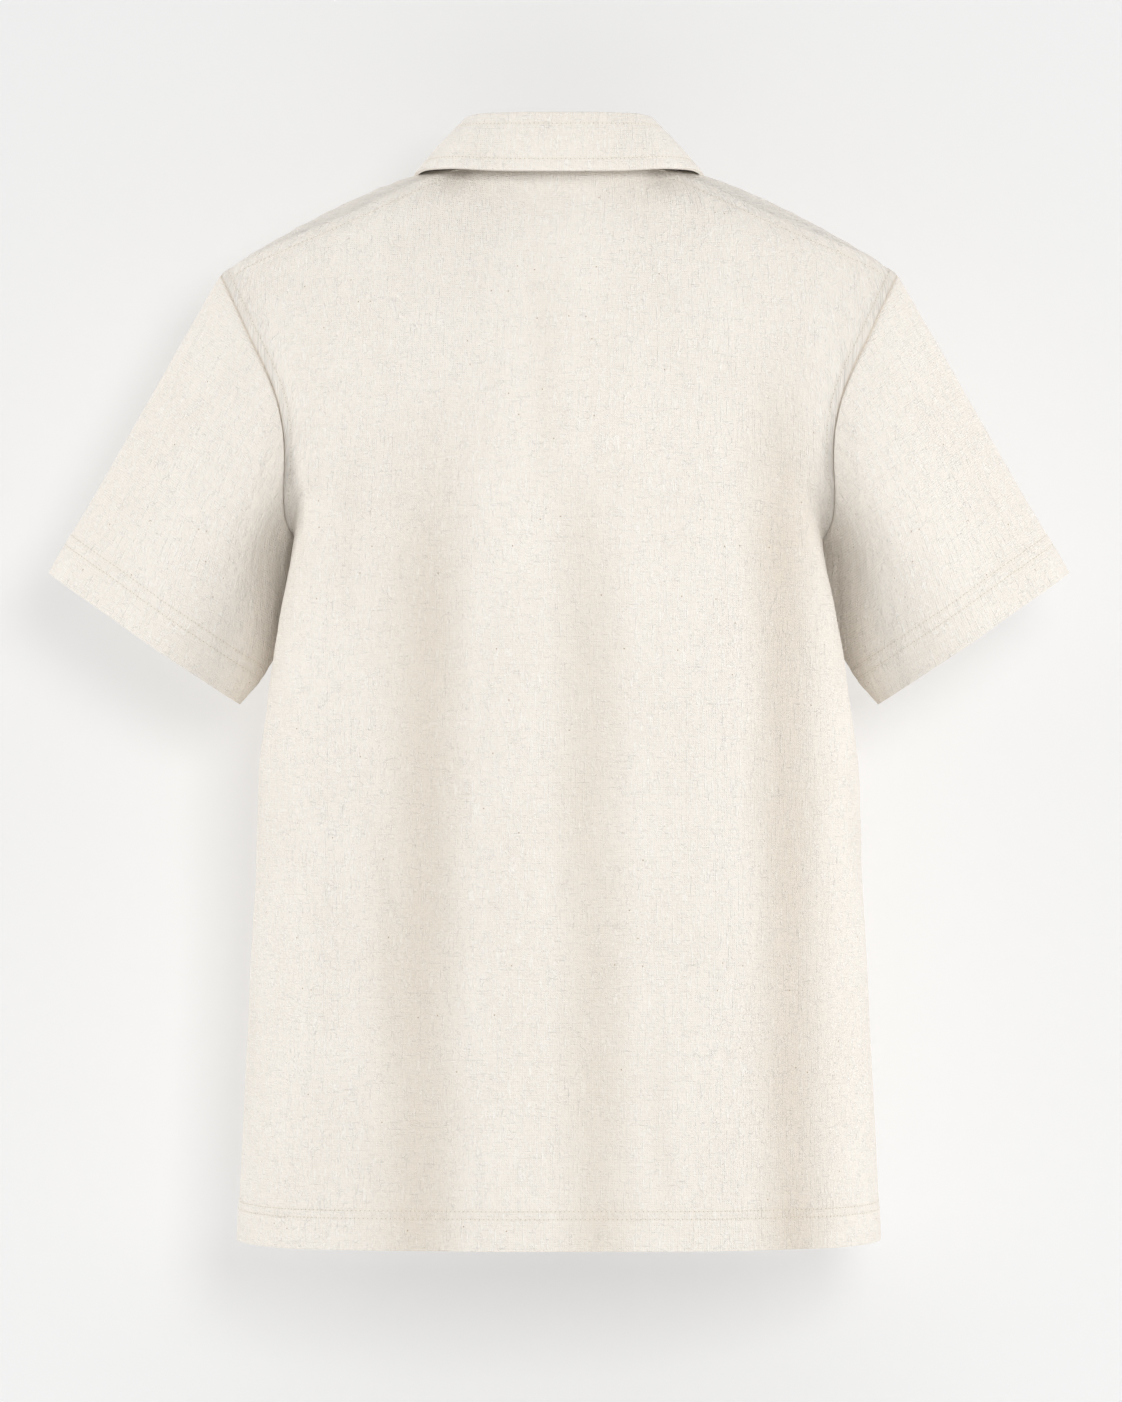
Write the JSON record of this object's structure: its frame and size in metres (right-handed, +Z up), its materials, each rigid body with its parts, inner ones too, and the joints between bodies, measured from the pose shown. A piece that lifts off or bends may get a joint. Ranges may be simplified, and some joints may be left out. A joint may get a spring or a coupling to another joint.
{
  "type": "short-sleeve shirt",
  "caption": "Short-sleeve woven shirt held open in its worn shape, with a turned-down collar on a band, a buttoned placket front, set-in sleeves and a straight hem.",
  "frame": {"origin": "in the middle of the neck, level with the top of the shoulders, where a wearer, bust or hanger holds the shirt", "axes": "+Z up from the hem to the neck, +Y from the chest to the back, +X to the wearer's left"},
  "size_m": [0.68, 0.2515, 0.7465],
  "materials": {
    "linen": "off-white plain-woven slubbed linen, unlined, matt",
    "button_plastic": "moulded four-hole shirt buttons, soft sheen"
  },
  "bodies": {
    "root": {"back": "linen", "front_left": "linen", "front_right": "linen", "placket": "linen", "sleeve_left": "linen", "sleeve_right": "linen", "collar_band": "linen", "collar": "linen", "button_1": "button_plastic", "button_2": "button_plastic", "button_3": "button_plastic", "button_4": "button_plastic", "button_5": "button_plastic", "button_6": "button_plastic", "button_collar": "button_plastic"}
  },
  "joints": []
}
